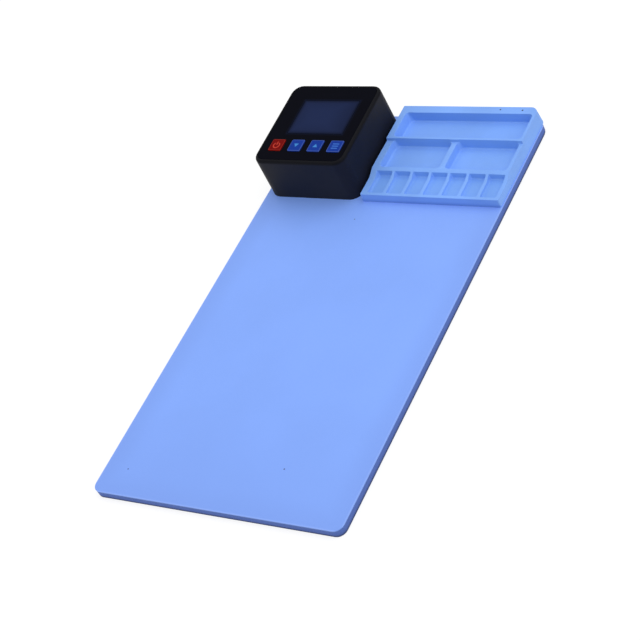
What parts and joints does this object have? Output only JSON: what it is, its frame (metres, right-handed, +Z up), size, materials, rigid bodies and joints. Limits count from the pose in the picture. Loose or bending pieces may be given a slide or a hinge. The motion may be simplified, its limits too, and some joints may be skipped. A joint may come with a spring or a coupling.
{
  "type": "display separator heating pad",
  "caption": "Heated silicone mat with a boxy keypad controller and display at one back corner and a stepped parts tray at the other, for loosening glued display glass.",
  "frame": {"origin": "middle of the mat's underside", "axes": "+Z up, +Y along the mat towards the end with the controller and the tray, +X to the tray's side"},
  "size_m": [0.2, 0.36, 0.0449],
  "materials": {
    "sheet": "matt light blue silicone",
    "core": "matt blue silicone",
    "skin": "matt dark blue silicone",
    "tray": "satin light blue silicone",
    "case": "matt dark navy-grey plastic",
    "panel": "polished near-black plastic",
    "window": "polished dark blue plastic",
    "key_red": "satin red plastic",
    "key_blue": "satin blue plastic",
    "dark_plastic": "matt black plastic",
    "white_plastic": "matt white plastic",
    "green_plastic": "green plastic",
    "board": "green lacquered board",
    "glass": "clear glass",
    "foil": "etched resistance foil",
    "steel": "zinc-plated steel",
    "brass": "plain brass",
    "aluminium": "natural extruded aluminium",
    "carrier": "amber insulating film",
    "wire_red": "red insulation",
    "wire_white": "white insulation",
    "tape": "grey bonding tape"
  },
  "bodies": {
    "pad": {"mat_base_skin": "skin", "mat_core": "core", "mat_top_sheet": "sheet", "backing_plate": "steel", "clamp_screw_1": "steel", "clamp_screw_2": "steel", "clamp_screw_3": "steel", "clamp_screw_4": "steel", "heater_carrier": "carrier", "heating_element": "foil", "temperature_sensor": "steel", "heater_lead_left": "wire_white", "heater_lead_right": "wire_white", "sensor_lead": "wire_red", "controller_housing": "case", "controller_base": "dark_plastic", "front_panel": "panel", "display_window": "window", "display_frame": "dark_plastic", "display_glass": "glass", "power_switch": "steel", "down_switch": "steel", "up_switch": "steel", "mode_switch": "steel", "panel_board": "board", "panel_board_screw_1": "steel", "panel_board_screw_2": "steel", "control_chip": "dark_plastic", "main_board": "board", "main_board_screw_1": "steel", "main_board_screw_2": "steel", "power_module": "dark_plastic", "filter_capacitor": "dark_plastic", "sensor_plug": "white_plastic", "output_terminal": "green_plastic", "mains_terminal": "green_plastic", "fuse": "dark_plastic", "triac_heatsink": "aluminium", "triac": "dark_plastic", "ribbon_socket_lower": "white_plastic", "ribbon_socket_upper": "white_plastic", "ribbon_cable": "wire_white", "power_inlet": "dark_plastic", "neutral_pin": "brass", "earth_pin": "brass", "live_pin": "brass", "inlet_screw_1": "steel", "inlet_screw_2": "steel", "neutral_wire": "wire_red", "earth_wire": "wire_red", "live_wire": "wire_red", "parts_tray": "tray", "tray_tape": "tape"},
    "power_button": {"power_key": "key_red"},
    "down_button": {"down_key": "key_blue"},
    "up_button": {"up_key": "key_blue"},
    "mode_button": {"mode_key": "key_blue"}
  },
  "joints": [
    {"name": "power_press", "type": "slide", "parent": "pad", "child": "power_button", "axis": [0, 0.0262, -0.9997], "range_m": [0, 0.0005], "stiffness_N_per_m": 1000, "springref_m": -0.0003},
    {"name": "down_press", "type": "slide", "parent": "pad", "child": "down_button", "axis": [0, 0.0262, -0.9997], "range_m": [0, 0.0005], "stiffness_N_per_m": 1000, "springref_m": -0.0003},
    {"name": "up_press", "type": "slide", "parent": "pad", "child": "up_button", "axis": [0, 0.0262, -0.9997], "range_m": [0, 0.0005], "stiffness_N_per_m": 1000, "springref_m": -0.0003},
    {"name": "mode_press", "type": "slide", "parent": "pad", "child": "mode_button", "axis": [0, 0.0262, -0.9997], "range_m": [0, 0.0005], "stiffness_N_per_m": 1000, "springref_m": -0.0003}
  ]
}
